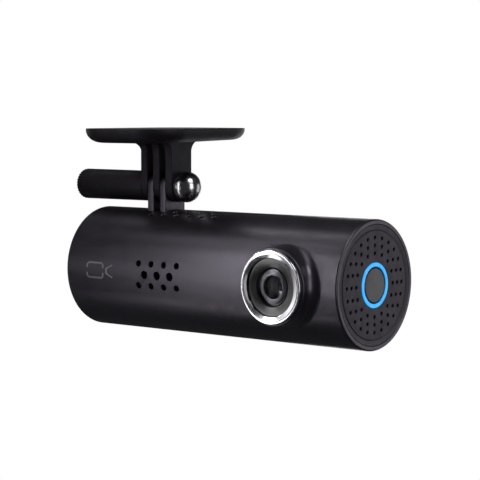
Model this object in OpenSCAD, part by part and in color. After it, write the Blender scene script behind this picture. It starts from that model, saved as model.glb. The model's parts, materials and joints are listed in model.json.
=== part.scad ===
// Cylindrical windscreen dash camera on a knuckle-jointed adhesive bracket.
// Millimetres, +Z up. The origin is the centre of the adhesive pad's upper face.
// The camera barrel lies along X, the lens looks towards -Y, and the power
// button and speaker are on the +X end.

/* [Camera barrel] */
// Outer diameter of the barrel
barrel_d = 36.5; // [34:0.1:40]
// Length of the barrel
barrel_len = 101; // [98:0.5:110]
// Wall thickness of the barrel
barrel_wall = 1.4; // [1.2:0.1:1.6]
// Distance from the hinge's middle plane to the button end
hinge_to_button_end = 76.65; // [76:0.05:78]
// Height of the hinge axis above the barrel axis
hinge_above_barrel = 25.1; // [25:0.1:27]

/* [Bracket] */
// Size of the adhesive plate along X
plate_x = 36.4; // [34:0.2:40]
// Size of the adhesive plate along Y
plate_y = 46; // [42:0.5:50]
// Corner radius of the plate
plate_corner_r = 12; // [9:0.5:14]
// Thickness of the plate at its front edge
plate_t_front = 4.3; // [3.8:0.05:4.6]
// Thickness of the plate at its back edge
plate_t_back = 3.35; // [3:0.05:4]
// Depth of the hinge axis below the adhesive face
hinge_drop = 17.5; // [17:0.1:19]
// Radius of the bracket's knuckles
knuckle_r = 4.65; // [4.5:0.05:4.9]
// Thickness of one bracket knuckle
knuckle_t = 2.5; // [2.4:0.05:2.6]
// Gap between two bracket knuckles
knuckle_gap = 2.4; // [2.3:0.05:2.5]

/* [Clamp screw and knob] */
// Radius of the clamp screw's shank
screw_r = 2.0; // [1.8:0.05:2.1]
// Radius of the ball nut
ball_r = 4.6; // [4.4:0.05:4.7]
// Length of the knob
knob_len = 27.5; // [26:0.5:30]
// Radius of the knob at its fluted end
knob_r = 4.65; // [4.6:0.05:4.8]
// Number of grip flutes round the knob's end
flute_count = 30; // [24:1:32]

/* [Lens] */
// Distance from the lens axis to the button end
lens_to_button_end = 19.1; // [18.5:0.1:20]
// Distance from the barrel axis to the front of the chrome ring
lens_front = 22.9; // [22.5:0.1:24]
// Outer radius of the chrome ring
trim_r = 10.25; // [10:0.05:10.5]
// Inner radius of the chrome ring
trim_inner_r = 8.15; // [8:0.05:8.3]
// Outer radius of the lens nose on the barrel
nose_r = 10.9; // [10.8:0.05:11.2]

/* [Button end] */
// Radius of the speaker grille disc
grille_r = 15.2; // [15:0.1:15.4]
// Radius of one speaker hole
speaker_hole_r = 0.54; // [0.4:0.02:0.6]
// Outer radius of the lit ring
light_outer_r = 6.35; // [6.25:0.05:6.6]
// Radius of the power button
button_r = 5.08; // [4.9:0.02:5.1]

/* [Vents] */
// Spacing of the vent and microphone holes along the barrel
vent_pitch = 4.9; // [4.7:0.1:5]
// Radius of the small front holes
front_small_r = 0.93; // [0.8:0.01:1]
// Radius of the large front holes
front_large_r = 1.22; // [1.1:0.01:1.3]
// Radius of one top vent
top_vent_r = 0.8; // [0.7:0.05:0.9]

/* [Memory card] */
// Width of the card
card_w = 11; // [11:0.1:11.1]
// Length of the card
card_len = 15; // [15:0.1:15.1]
// Thickness of the card
card_t = 0.75; // [0.7:0.05:0.8]

/* [Hidden] */
$fn = 96;
// Running clearance of a shaft in its hole, and the seat gap between fixed pieces
run = 0.06;
seat = 0.05;
// Overshoot of a cutter past the face it cuts
cut = 1;
barrel_r = barrel_d / 2;
bore_r = barrel_r - barrel_wall;
right_x = hinge_to_button_end;
left_x = right_x - barrel_len;
barrel_z = -hinge_drop - hinge_above_barrel;
edge_chamfer = 0.5;
// Knuckles
hinge_half = 1.5 * knuckle_t + knuckle_gap;
knuckle_pitch = knuckle_t + knuckle_gap;
clevis_t = knuckle_gap - 0.1;
clevis_r = knuckle_r - 0.2;
pivot_r = screw_r + run;
// The ball nut's square key in the outer knuckle
key_w = 5.2;
key_depth = 1.6;
// The clamp screw's six-sided head, moulded into the knob, and the washer
head_r = 3.2;
head_len = 3.5;
head_x = -hinge_half - 12;
knob_end = -hinge_half - 0.1;
washer_r = 3.6;
washer_t = 0.6;
// Thickness of the plate's straight upper edge
plate_rim = 0.4;
// Adhesive pad, let into the plate's upper face
pad_t = 0.9;
pad_margin = 1.6;
// Lens stack, as distances out from the barrel axis
lens_x = right_x - lens_to_button_end;
nose_front = lens_front - 1;
nose_bore_r = 9.3;
edge_r = 5.45;
glass_edge = lens_front - 1.1;
retainer_back = lens_front - 2.2;
stop_front = lens_front - 4.95;
stop_back = lens_front - 5.6;
shoulder = 11.7;
sensor_back = 3;
board_front = sensor_back + 1;
sensor_screw_at = 6.2;
// Button end, as distances in from the barrel's end
grille_face = right_x - 0.2;
grille_back = grille_face - 1.2;
light_face = right_x - 0.05;
button_face = right_x - 0.1;
hub_r = 8;
hub_back = right_x - 4.3;
light_back = right_x - 5.35;
button_board_face = right_x - 6.85;
button_board_t = 1;
light_inner_r = button_r + run;
// Main board, standing upright along the barrel axis
board_x0 = left_x + 3.4;
board_x1 = 44;
board_h = 28;
board_t = 1.2;
board_screws_x = [-5.5, 38];
board_screw_z = 12.6;
m2_r = 1;
// Sockets at the left end: heights of the card, the USB inlet and the reset pin
card_z = 6.6;
usb_z = -5.6;
reset_z = -11.9;
socket_y = -1.25;
cap_face = left_x + 0.2;
cap_back = cap_face + 1.8;
cap_screw_y = 9;
// Chassis
cage_r = bore_r - 0.25;
cage_wall = 2;
cage_x0 = left_x + 5.3;
cage_x1 = 46;
rail_y = [board_t + seat, board_t + 2];
rail_z = [11.2, 14.4];

// ---- Places and shared shapes ----

// Moves a shape from the barrel axis to its place under the hinge.
module at_barrel() translate([0, 0, barrel_z]) children();

// Moves a shape from the X axis to the hinge axis.
module at_hinge() translate([0, 0, -hinge_drop]) children();

// A cylinder along X from x0 to x1.
module rod_x(r, x0, x1) translate([x0, 0, 0]) rotate([0, 90, 0]) cylinder(r = r, h = x1 - x0);

// A ring along X from x0 to x1.
module ring_x(r_out, r_in, x0, x1) {
    difference() {
        rod_x(r_out, x0, x1);
        rod_x(r_in, x0 - cut, x1 + cut);
    }
}

// A solid of revolution about X. Each point is [radius, x].
module turned_x(points) rotate([0, 90, 0]) rotate_extrude() polygon(points);

// A solid of revolution about the lens axis. Each point is [radius, distance out].
module turned_lens(points) {
    translate([lens_x, 0, 0]) rotate([90, 0, 0]) rotate_extrude() polygon(points);
}

// A cylinder along the lens axis between two distances out from the barrel axis.
module lens_rod(r, d0, d1) {
    translate([lens_x, -d0, 0]) rotate([90, 0, 0]) cylinder(r = r, h = d1 - d0);
}

// A box from its lowest to its highest corner.
module block(low, high) translate(low) cube(high - low);

// Points along an arc: centre, radius, start and end angle, in n steps.
function arc(c, r, a0, a1, n) =
    [for (i = [0 : n]) c + r * [cos(a0 + (a1 - a0) * i / n), sin(a0 + (a1 - a0) * i / n)]];

// A flat plate with rounded corners, its top at z = 0.
module rounded_plate(x, y, r, t) {
    translate([0, 0, -t]) linear_extrude(t) {
        hull() {
            for (sx = [-1, 1], sy = [-1, 1])
                translate([sx * (x / 2 - r), sy * (y / 2 - r)]) circle(r = r, $fn = 64);
        }
    }
}

// A round or filled button-head screw along +X, its head at the low end.
module pan_screw(r, len, head_r, head_t) {
    rod_x(head_r, -head_t, 0);
    rod_x(r, -seat, len);
}

// ---- Bracket, clamp screw and knob ----

// The plate: its sides curve inwards, more at the front, where it is thicker.
module plate() {
    front_inset = 3.9;
    back_inset = 2.2;
    side_inset = 5;
    corner_inset = 4;
    slice = 0.05;
    steps = 4;
    hull() {
        rounded_plate(plate_x, plate_y, plate_corner_r, plate_rim);
        for (i = [1 : steps]) {
            sink = sin(90 * i / steps);
            inset = 1 - cos(90 * i / steps);
            y0 = -plate_y / 2 + front_inset * inset;
            y1 = plate_y / 2 - back_inset * inset;
            tilt = atan(sink * (plate_t_front - plate_t_back) / plate_y);
            depth = plate_rim + sink * ((plate_t_front + plate_t_back) / 2 - plate_rim);
            translate([0, (y0 + y1) / 2, slice - depth]) rotate([tilt, 0, 0])
                rounded_plate(plate_x - 2 * inset * side_inset, y1 - y0,
                    plate_corner_r - corner_inset * inset, slice);
        }
    }
}

// A block that fillets the post into the plate at the front, the back and the knob's side.
module post_root() {
    front_r = 3;
    back_r = 3.6;
    knob_side_r = 3;
    root_z = -plate_t_front + 0.35;
    intersection() {
        difference() {
            block([-hinge_half - knob_side_r, -knuckle_r - front_r, root_z - back_r],
                  [hinge_half, knuckle_r + back_r, root_z + 0.8]);
            translate([0, -knuckle_r - front_r, root_z - front_r])
                rod_x(front_r, -plate_x, plate_x);
            block([-plate_x, -knuckle_r - front_r - cut, root_z - back_r - cut],
                  [plate_x, -knuckle_r, root_z - front_r]);
            translate([0, knuckle_r + back_r, root_z - back_r + 0.25])
                rod_x(back_r, -plate_x, plate_x);
        }
        difference() {
            block([-hinge_half - knob_side_r, -plate_y / 2, root_z - back_r - cut],
                  [hinge_half, plate_y / 2, root_z + 0.8]);
            translate([-hinge_half - knob_side_r, plate_y / 2, root_z - knob_side_r])
                rotate([90, 0, 0]) cylinder(r = knob_side_r, h = plate_y);
            block([-plate_x, -plate_y, root_z - back_r - 2 * cut],
                  [-hinge_half, plate_y, root_z - knob_side_r]);
        }
    }
}

module bracket() {
    slot_h = 2 * knuckle_r + hinge_drop - plate_t_front - 0.2;
    key_space = key_w / 2 + seat;
    color("#151417") difference() {
        union() {
            plate();
            post_root();
            block([-hinge_half, -knuckle_r, -hinge_drop], [hinge_half, knuckle_r, -plate_t_back]);
            at_hinge() rod_x(knuckle_r, -hinge_half, hinge_half);
        }
        for (s = [-1, 1])
            translate([s * knuckle_pitch / 2 - knuckle_gap / 2, -plate_y / 2,
                       -hinge_drop - 2 * knuckle_r])
                cube([knuckle_gap, plate_y, slot_h]);
        at_hinge() rod_x(pivot_r, -hinge_half - cut, hinge_half + cut);
        at_hinge() block([hinge_half - key_depth, -key_space, -key_space],
                         [hinge_half + cut, key_space, key_space]);
        translate([0, 0, cut])
            rounded_plate(plate_x - 2 * pad_margin, plate_y - 2 * pad_margin,
                plate_corner_r - pad_margin, cut + pad_t);
    }
}

module adhesive_pad() {
    color("#2b2a2c") rounded_plate(plate_x - 2 * pad_margin - 2 * seat,
        plate_y - 2 * pad_margin - 2 * seat, plate_corner_r - pad_margin, pad_t);
}

// Ball-shaped nut with a square key that sits in the outer knuckle.
module ball_nut() {
    ball_x = hinge_half + 2.05;
    bore_depth = 1.6;
    color("#9a9a9f") at_hinge() difference() {
        union() {
            intersection() {
                translate([ball_x, 0, 0]) rotate([0, 90, 0]) sphere(r = ball_r);
                rod_x(2 * ball_r, hinge_half + 0.02, ball_x + 2 * ball_r);
            }
            block([hinge_half - key_depth + seat, -key_w / 2, -key_w / 2],
                  [hinge_half + 1, key_w / 2, key_w / 2]);
        }
        rod_x(screw_r + seat, 0, ball_x + bore_depth);
    }
}

// Thin washer let into the knob's end face.
module clamp_washer() {
    washer_end = -hinge_half - 0.04;
    color("#8d8d90") at_hinge() ring_x(washer_r, pivot_r, washer_end - washer_t, washer_end);
}

// Shank with a six-sided head that is moulded into the knob.
module clamp_screw() {
    color("#8d8d90") at_hinge() {
        rod_x(screw_r, head_x - 0.5, hinge_half + 3);
        translate([head_x - head_len, 0, 0]) rotate([0, 90, 0])
            cylinder(r = head_r, h = head_len, $fn = 6);
    }
}

// Long tapered knob. Shallow flutes run round its free end.
module knob() {
    x0 = knob_end - knob_len;
    round_r = 1;
    flute_len = 6.5;
    flute_r = 0.4;
    flute_depth = 0.24;
    color("#1b1a1d") at_hinge() difference() {
        turned_x(concat([[0, x0]], arc([knob_r - round_r, x0 + round_r], round_r, -90, 0, 6),
            [[knob_r - 0.08, knob_end - 0.2], [knob_r - 0.28, knob_end], [0, knob_end]]));
        for (i = [0 : flute_count - 1])
            rotate([360 * i / flute_count, 0, 0])
                translate([x0, 0, knob_r + flute_r - flute_depth])
                    rotate([0, -atan(flute_depth / flute_len), 0])
                        rod_x(flute_r, -cut, flute_len + 2);
        rod_x(washer_r + run, knob_end - washer_t, knob_end + cut);
        rod_x(screw_r + 0.02, head_x - 1, knob_end + cut);
        translate([head_x - head_len - 0.02, 0, 0]) rotate([0, 90, 0])
            cylinder(r = head_r + 0.02, h = head_len + 0.04, $fn = 6);
    }
}

// ---- Barrel shell ----

// The clevis that hangs from the bracket's knuckles.
module clevis() {
    for (s = [-1, 1]) {
        x0 = s * knuckle_pitch / 2 - clevis_t / 2;
        at_hinge() rod_x(clevis_r, x0, x0 + clevis_t);
        block([x0, -clevis_r, barrel_z + bore_r + 0.3], [x0 + clevis_t, clevis_r, -hinge_drop]);
    }
}

// The round lens nose, its front edge broken.
module nose() {
    edge = 0.5;
    root = 8;
    turned_lens([[0, root], [0, nose_front], [nose_r - edge, nose_front],
        [nose_r, nose_front - edge], [nose_r, root]]);
}

// A hole through the barrel's front wall.
module front_hole(r, x, z) {
    translate([x, -bore_r + cut, z]) rotate([90, 0, 0])
        cylinder(r = r, h = 2 * barrel_wall + 2 * cut, $fn = 32);
}

// The eleven holes in front of the microphone: rows of four, three and four.
module front_holes() {
    row_z = 3.25;
    for (s = [-1, 1], k = [1 : 4])
        front_hole(front_small_r, k * vent_pitch, s * row_z);
    for (k = [1.5 : 3.5])
        front_hole(front_large_r, k * vent_pitch, 0);
}

// One radial vent at a place along X and an angle up from straight ahead.
module top_vent(x, angle) {
    rotate([-angle, 0, 0]) translate([x, -bore_r + cut, 0]) rotate([90, 0, 0])
        cylinder(r = top_vent_r, h = 2 * barrel_wall + 2 * cut, $fn = 32);
}

// Staggered vent rows on both sides of the clevis.
module top_vents() {
    for (side = [0, 1]) mirror([0, side, 0]) {
        for (k = [0 : 5]) top_vent(k * vent_pitch, 67.5);
        for (k = [1.5 : 4.5]) top_vent(k * vent_pitch, 76);
        for (k = [2 : 4]) top_vent(k * vent_pitch, 84.5);
    }
}

module housing_tube() {
    color("#2b2930") difference() {
        union() {
            at_barrel() turned_x([[0, left_x], [barrel_r - edge_chamfer, left_x],
                [barrel_r, left_x + edge_chamfer], [barrel_r, right_x - edge_chamfer],
                [barrel_r - edge_chamfer, right_x], [0, right_x]]);
            at_barrel() nose();
            clevis();
        }
        at_barrel() {
            rod_x(bore_r, left_x - cut, right_x + cut);
            lens_rod(nose_bore_r, 0, lens_front + cut);
            front_holes();
            top_vents();
        }
        at_hinge() rod_x(pivot_r, -hinge_half, hinge_half);
    }
}

// Closes the left end. It holds the card slot, the USB inlet and the reset pin-hole.
module left_end_cap() {
    skirt_len = 3;
    skirt_t = 1.2;
    finger_r = 3.2;
    finger_depth = 0.9;
    usb_space = [1.55, 4];
    slot_space = [card_t / 2 + 0.3, card_w / 2 + 0.3];
    color("#222126") at_barrel() difference() {
        turned_x([[0, cap_face], [bore_r - 0.4, cap_face], [bore_r - seat, cap_face + 0.35],
            [bore_r - seat, cap_back + skirt_len], [bore_r - skirt_t, cap_back + skirt_len],
            [bore_r - skirt_t, cap_back], [0, cap_back]]);
        block([left_x - cut, socket_y - slot_space[0], card_z - slot_space[1]],
              [cap_back + cut, socket_y + slot_space[0], card_z + slot_space[1]]);
        translate([cap_face - seat, socket_y, card_z]) rotate([0, 90, 0])
            cylinder(r = finger_r, h = finger_depth);
        block([left_x - cut, socket_y - usb_space[0], usb_z - usb_space[1]],
              [cap_back + cut, socket_y + usb_space[0], usb_z + usb_space[1]]);
        translate([0, socket_y, reset_z]) rod_x(0.6, left_x - cut, cap_back + cut);
        for (s = [-1, 1]) translate([0, cap_screw_y, s * cap_screw_y]) {
            rod_x(m2_r + 0.1, left_x - cut, cap_back + cut);
            rod_x(2.05, left_x - cut, cap_face + 1.05);
        }
    }
}

// Two screws that draw the left cap onto the chassis.
module cap_screws() {
    color("#3a3a3d") at_barrel() for (s = [-1, 1])
        translate([cap_face + 1, cap_screw_y, s * cap_screw_y]) difference() {
            pan_screw(m2_r, 8, 1.9, 0.8);
            translate([-1.4, 0, 0]) rotate([0, 90, 0]) cylinder(r = 0.9, h = 1.1, $fn = 6);
        }
}

// Sloping ring between the barrel's rim and the grille, with a ledge behind it.
module end_bezel() {
    outer = bore_r - 0.03;
    ledge = 14;
    inner = grille_r + seat;
    color("#131316") at_barrel() turned_x([[outer, right_x - 0.06], [inner, right_x - 0.34],
        [inner, grille_back - seat], [ledge, grille_back - seat], [ledge, grille_back - 1.2],
        [inner, grille_back - 2], [inner, button_board_face + seat],
        [outer, button_board_face + seat]]);
}

// ---- Button end ----

// A ring of speaker holes through the grille.
module hole_ring(count, radius) {
    for (i = [0 : count - 1]) rotate([360 * i / count, 0, 0])
        translate([grille_back - cut, radius, 0]) rotate([0, 90, 0])
            cylinder(r = speaker_hole_r, h = grille_face - grille_back + 2 * cut, $fn = 24);
}

// Round grille with three rings of holes and a hub round the lit ring.
module speaker_grille() {
    edge = 0.15;
    color("#232227") at_barrel() difference() {
        turned_x([[light_outer_r + seat, grille_face], [grille_r - edge, grille_face],
            [grille_r, grille_face - edge], [grille_r, grille_back], [hub_r, grille_back],
            [hub_r, hub_back], [light_outer_r + seat, hub_back]]);
        hole_ring(24, 13.18);
        hole_ring(20, 11);
        hole_ring(16, 8.82);
    }
}

// Clear ring that carries the light to the face, with a collecting flange behind.
module light_guide_ring() {
    edge = 0.15;
    color("#159fe0") at_barrel() turned_x([[light_inner_r, light_face - edge],
        [light_inner_r + edge, light_face], [light_outer_r - edge, light_face],
        [light_outer_r, light_face - edge], [light_outer_r, hub_back - seat],
        [hub_r, hub_back - seat], [hub_r, light_back], [light_inner_r, light_back]]);
}

// Hollow cap with a pressing stem and a retaining flange.
module power_button() {
    flange_r = 5.9;
    flange_t = 0.9;
    flange_x = light_back - 0.1;
    cap_t = 2;
    bore = 3.9;
    stem_r = 1.2;
    stem_x = light_back + 0.15;
    crown_r = 0.6;
    dome = 0.05;
    crown = arc([button_r - crown_r, button_face - dome - crown_r], crown_r, 0, 80, 8);
    color("#3b3a42") at_barrel() turned_x(concat(
        [[0, stem_x], [stem_r, stem_x], [stem_r, button_face - cap_t], [bore, button_face - cap_t],
         [bore, flange_x - flange_t], [flange_r, flange_x - flange_t], [flange_r, flange_x],
         [button_r, flange_x]],
        crown, [[button_r / 2, button_face - dome], [0, button_face]]));
}

// Moving tip of the tact switch behind the button.
module switch_plunger() {
    color("#e8e4da") at_barrel() rod_x(0.9, button_board_face + 0.5, light_back + 0.13);
}

module power_switch() {
    color("#3c3c40") at_barrel() difference() {
        block([button_board_face, -2.1, -2.1], [button_board_face + 0.9, 2.1, 2.1]);
        rod_x(0.95, button_board_face + 0.05, button_board_face + 2);
    }
}

// Round board with sound openings. It carries the switch and the ring's light sources.
module button_board() {
    board_back = button_board_face - button_board_t;
    color("#1d5c3a") at_barrel() difference() {
        rod_x(grille_r, board_back, button_board_face);
        for (a = [30 : 60 : 330]) rotate([a, 0, 0]) translate([0, 11.6, 0])
            rod_x(2.4, board_back - cut, button_board_face + cut);
    }
}

// Six light sources under the guide ring's flange.
module ring_leds() {
    color("#f2efd8") at_barrel() for (a = [0 : 60 : 300]) rotate([a, 0, 0])
        block([button_board_face, 6.2, -0.8], [button_board_face + 0.6, 7.4, 0.8]);
}

// Small round speaker: a frame, a magnet behind it and a shallow cone.
module speaker() {
    y = 7;
    x1 = button_board_face - button_board_t - 0.4;
    color("#4a4a4d") at_barrel() translate([0, y, 0]) turned_x([[0, x1 - 6.4], [5.5, x1 - 6.4],
        [5.5, x1 - 4.2], [9.4, x1 - 3.2], [9.4, x1], [8.6, x1], [8.2, x1 - 0.9], [3, x1 - 1.8],
        [0, x1 - 1.2]]);
}

// ---- Lens ----

// Chrome ring with a rounded flank and a broad inner chamfer. Its skirt locates in the nose.
module lens_trim_ring() {
    bore = trim_inner_r + 0.25;
    crest = lens_front + 0.1;
    chamfer_back = lens_front - 0.1;
    lip_back = lens_front - 0.7;
    skirt_back = nose_front - 2.3;
    flank = arc([trim_r - 0.7, lens_front - 0.7], 0.7, 0, 80, 6);
    color("#c9c9cd") at_barrel() turned_lens(concat([[trim_r, nose_front + 0.03]], flank,
        [[trim_r - 0.9, crest], [trim_inner_r, chamfer_back], [trim_inner_r, lip_back],
         [bore, lip_back], [bore, skirt_back], [nose_bore_r - seat, skirt_back],
         [nose_bore_r - seat, nose_front + 0.03]]));
}

// Glossy black ring that slopes inwards round the front element.
module lens_bezel() {
    r = trim_inner_r + 0.25 - seat;
    step_r = 7.2;
    groove_r = trim_inner_r - 0.1;
    top = lens_front - 0.74;
    back = lens_front - 1.9;
    slope_back = glass_edge + 0.08;
    color("#0c0c0e") at_barrel() turned_lens([[r, top - 0.08], [groove_r, top - 0.08],
        [groove_r - 0.1, top], [edge_r + seat, slope_back], [edge_r + seat, back],
        [step_r, back], [step_r, lens_front - 3.2], [r, lens_front - 3.2]]);
}

// Domed outer glass of the lens.
module front_element() {
    r = 5.05;
    rise = 0.6;
    thick = 0.7;
    dome_r = (r * r + rise * rise) / (2 * rise);
    half = asin(r / dome_r);
    outer = arc([0, glass_edge + rise - dome_r], dome_r, 90 - half, 90, 12);
    inner = arc([0, glass_edge + rise - dome_r - thick], dome_r, 90, 90 - half, 12);
    color("#9fb6c8", 0.35) at_barrel() turned_lens(concat([[r, glass_edge - thick]], outer, inner));
}

// Ring that holds the front element, seen through the glass as a grey cone.
module lens_retainer() {
    r = 5.03;
    eye_r = 3.2;
    color("#2d2c31") at_barrel() turned_lens([[r, lens_front - 1.85], [eye_r, lens_front - 1.6],
        [eye_r, retainer_back], [r, retainer_back]]);
}

// Second lens, domed in front and flat behind.
module second_element() {
    dome_r = 5.8;
    back = lens_front - 4.8;
    front = arc([0, lens_front - 2.6 - dome_r], dome_r, 52, 90, 8);
    color("#7f90b8", 0.35) at_barrel() turned_lens(concat([[3.55, back]], front, [[0, back]]));
}

// Disc with the lens's opening in its middle.
module aperture_stop() {
    r = 3.55;
    eye_r = 1.2;
    color("#09090a") at_barrel() turned_lens([[eye_r, lens_front - 5.3], [r, stop_front],
        [r, stop_back], [eye_r, stop_back]]);
}

// Rear lens, held against the barrel's shoulder.
module rear_element() {
    r = 3.95;
    color("#8fa0b0", 0.35) at_barrel() turned_lens([[0, 9.4], [r, 9.4], [r, shoulder - 0.9],
        [2.5, shoulder - 0.3], [0, shoulder - 0.1]]);
}

// Threaded metal barrel that holds all the glass.
module lens_barrel() {
    thread_r = 6;
    rim_r = 6.6;
    seat_r = 5.1;
    inner_r = 3.6;
    throat_r = 2.8;
    rear_r = 4;
    color("#111114") at_barrel() turned_lens([[rear_r, 8.2], [thread_r, 8.2], [thread_r, 17.6],
        [rim_r, 17.6], [rim_r, 19.4], [edge_r, 19.4], [edge_r, lens_front - 0.95],
        [seat_r, lens_front - 0.95], [seat_r, retainer_back - seat],
        [inner_r, retainer_back - seat], [inner_r, stop_back - seat],
        [throat_r, stop_back - seat], [throat_r, shoulder], [rear_r, shoulder]]);
}

// Block that screws onto the sensor board and holds the barrel in focus.
module lens_holder() {
    half = 7.5;
    front = 14.8;
    well = [5.2, 8, 4.6];
    color("#18181b") at_barrel() difference() {
        union() {
            lens_rod(nose_bore_r - seat, front, 17.3);
            block([lens_x - half, -front, -half], [lens_x + half, -board_front, half]);
        }
        lens_rod(6.03, 0, 20);
        block([lens_x - well[0], -well[1], -well[2]], [lens_x + well[0], 0, well[2]]);
        for (s = [-1, 1]) translate([s * sensor_screw_at, 0, s * sensor_screw_at])
            lens_rod(0.8, 0, 8);
    }
}

// Square filter in front of the image sensor.
module ir_filter() {
    color("#6fb7a8", 0.35) at_barrel() block([lens_x - 4, -7.6, -4], [lens_x + 4, -7, 4]);
}

module image_sensor() {
    color("#2a2340") at_barrel() block([lens_x - 4, -board_front - 1.4, -3.5],
        [lens_x + 4, -board_front - 0.02, 3.5]);
}

module sensor_board() {
    half = 8.5;
    color("#1d5c3a") at_barrel() difference() {
        block([lens_x - half, -board_front, -half], [lens_x + half, -sensor_back, half]);
        for (s = [-1, 1]) translate([s * sensor_screw_at, 0, s * sensor_screw_at])
            lens_rod(0.9, 0, 8);
    }
}

// Two screws from the sensor board into the lens holder.
module sensor_screws() {
    color("#77777b") at_barrel() for (s = [-1, 1])
        translate([lens_x + s * sensor_screw_at, -sensor_back, s * sensor_screw_at])
            rotate([0, 0, -90]) pan_screw(0.78, 4.5, 1.5, 0.7);
}

// Flat ribbon from the sensor board to the main board.
module flex_cable() {
    t = 0.25;
    y1 = -sensor_back + t;
    color("#b5651d") at_barrel() translate([0, 0, -4]) linear_extrude(8)
        polygon([[board_x1 - 3, -t], [board_x1 + 0.5, -t], [board_x1 + 3.5, y1 - t],
            [lens_x - 5, y1 - t], [lens_x - 5, y1], [board_x1 + 3.6, y1], [board_x1 + 0.6, 0],
            [board_x1 - 3, 0]]);
}

// ---- Electronics ----

// Two hoops joined by rails. The main board is screwed to the rails' front.
module chassis() {
    hoop_len = 3;
    boss_r = 2.4;
    boss_len = 7;
    rib_t = 1.5;
    rib_y = 9;
    board_space = board_h / 2 + 0.4;
    color("#55555a") at_barrel() difference() {
        union() {
            ring_x(cage_r, cage_r - cage_wall, cage_x0, cage_x0 + hoop_len);
            ring_x(cage_r, cage_r - cage_wall, cage_x1 - hoop_len, cage_x1);
            for (s = [-1, 1]) {
                block([cage_x0, rail_y[0], s > 0 ? rail_z[0] : -rail_z[1]],
                      [cage_x1, rail_y[1], s > 0 ? rail_z[1] : -rail_z[0]]);
                translate([0, cap_screw_y, s * cap_screw_y]) rod_x(boss_r, cage_x0, cage_x0 + boss_len);
            }
            for (x = [-9.8, 36.3])
                block([x, rail_y[0], -rail_z[0] - cut], [x + rib_t, rib_y, rail_z[0] + cut]);
        }
        // Hoop openings for the board and the sockets
        block([cage_x0 - cut, -5, -board_space], [cage_x1 + cut, rail_y[0], board_space]);
        board_screw_holes(m2_r);
        for (s = [-1, 1]) translate([0, cap_screw_y, s * cap_screw_y])
            rod_x(m2_r, cage_x0 - cut, cage_x0 + 5);
    }
}

// The four holes that the main board's screws pass through.
module board_screw_holes(r) {
    for (x = board_screws_x, s = [-1, 1]) translate([x, 0, s * board_screw_z])
        rotate([90, 0, 0]) cylinder(r = r, h = 12, center = true);
}

module main_board() {
    color("#1d5c3a") at_barrel() difference() {
        block([board_x0, 0, -board_h / 2], [board_x1, board_t, board_h / 2]);
        board_screw_holes(m2_r + 0.1);
    }
}

// Four screws from the main board into the chassis rails.
module board_screws() {
    color("#77777b") at_barrel() for (x = board_screws_x, s = [-1, 1])
        translate([x, 0, s * board_screw_z]) rotate([0, 0, 90]) pan_screw(m2_r - 0.02, 3, 1.4, 0.8);
}

module processor() {
    color("#17171a") at_barrel() block([24, -1.2, -6], [36, 0, 6]);
}

module thermal_pad() {
    color("#9db8c9") at_barrel() block([25, -2.2, -5], [35, -1.2, 5]);
}

// Aluminium plate on four feet over the processor.
module heat_spreader() {
    color("#b9bbc0") at_barrel() {
        block([20, -3.4, -10.5], [41, -2.2, 10.5]);
        for (x = [21.5, 39.5], s = [-1, 1]) translate([x, 0, s * 9]) rotate([90, 0, 0])
            cylinder(r = 1, h = 2.3);
    }
}

module memory_chip() {
    color("#17171a") at_barrel() block([4, -1, -12.5], [14, 0, -5.5]);
}

module microphone() {
    color("#b9bbc0") at_barrel() translate([2.5 * vent_pitch, 0, 0]) rotate([90, 0, 0])
        cylinder(r = 3, h = 2.7);
}

// Rubber sleeve that seals the microphone towards the front holes.
module mic_boot() {
    color("#1a1a1c") at_barrel() translate([2.5 * vent_pitch, 0, 0]) rotate([90, 0, 0])
        difference() {
            cylinder(r = 4.2, h = 6);
            translate([0, 0, -cut]) cylinder(r = 3 + 0.02, h = 3.8);
            cylinder(r = 2, h = 8);
        }
}

module wifi_antenna() {
    color("#d8c08a") at_barrel() block([-2, -1, 7.5], [8, 0, 12.5]);
}

// Push-push holder for the memory card.
module card_socket() {
    x0 = cap_back + 1.4;
    x1 = left_x + card_len + 1.6;
    color("#b9bbc0") at_barrel() difference() {
        block([x0, socket_y - 0.75, card_z - 6.4], [x1, 0, card_z + 6.4]);
        block([x0 - cut, socket_y - card_t / 2 - 0.08, card_z - card_w / 2 - 0.1],
              [x1 - 0.4, socket_y + card_t / 2 + 0.08, card_z + card_w / 2 + 0.1]);
    }
}

// Removable card, with its notched edge and the raised finger lip.
module memory_card() {
    x0 = cap_face + 0.15;
    color("#141416") at_barrel() {
        translate([0, socket_y + card_t / 2, card_z]) rotate([90, 0, 0]) linear_extrude(card_t)
            polygon([[x0, -card_w / 2], [x0 + card_len - 1, -card_w / 2],
                [x0 + card_len, -card_w / 2 + 1], [x0 + card_len, card_w / 2 - 1.4],
                [x0 + 8.6, card_w / 2 - 1.4], [x0 + 7.2, card_w / 2], [x0, card_w / 2]]);
        block([x0, socket_y - card_t / 2 - 0.25, card_z - card_w / 2 + 0.5],
              [x0 + 1.1, socket_y, card_z + card_w / 2 - 0.5]);
    }
}

// Micro-USB receptacle: a bent steel shell with its contact tongue.
module usb_socket() {
    x0 = cap_face + 0.3;
    x1 = x0 + 5.6;
    color("#b9bbc0") at_barrel() translate([0, socket_y, usb_z]) {
        difference() {
            block([x0, -1.25, -3.75], [x1, 1.25, 3.75]);
            block([x0 - cut, -0.9, -3.45], [x1 - 0.5, 0.9, 3.45]);
        }
        block([x0 + 1, -0.3, -1.9], [x1 - 0.3, 0.3, 1.9]);
    }
}

module reset_switch() {
    x0 = cap_back + 1.4;
    color("#3c3c40") at_barrel() difference() {
        block([x0, socket_y - 0.9, reset_z - 1.6], [x0 + 2.2, 0, reset_z + 1.6]);
        translate([0, socket_y, reset_z]) rod_x(0.55, x0 - cut, x0 + 1.5);
    }
}

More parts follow.
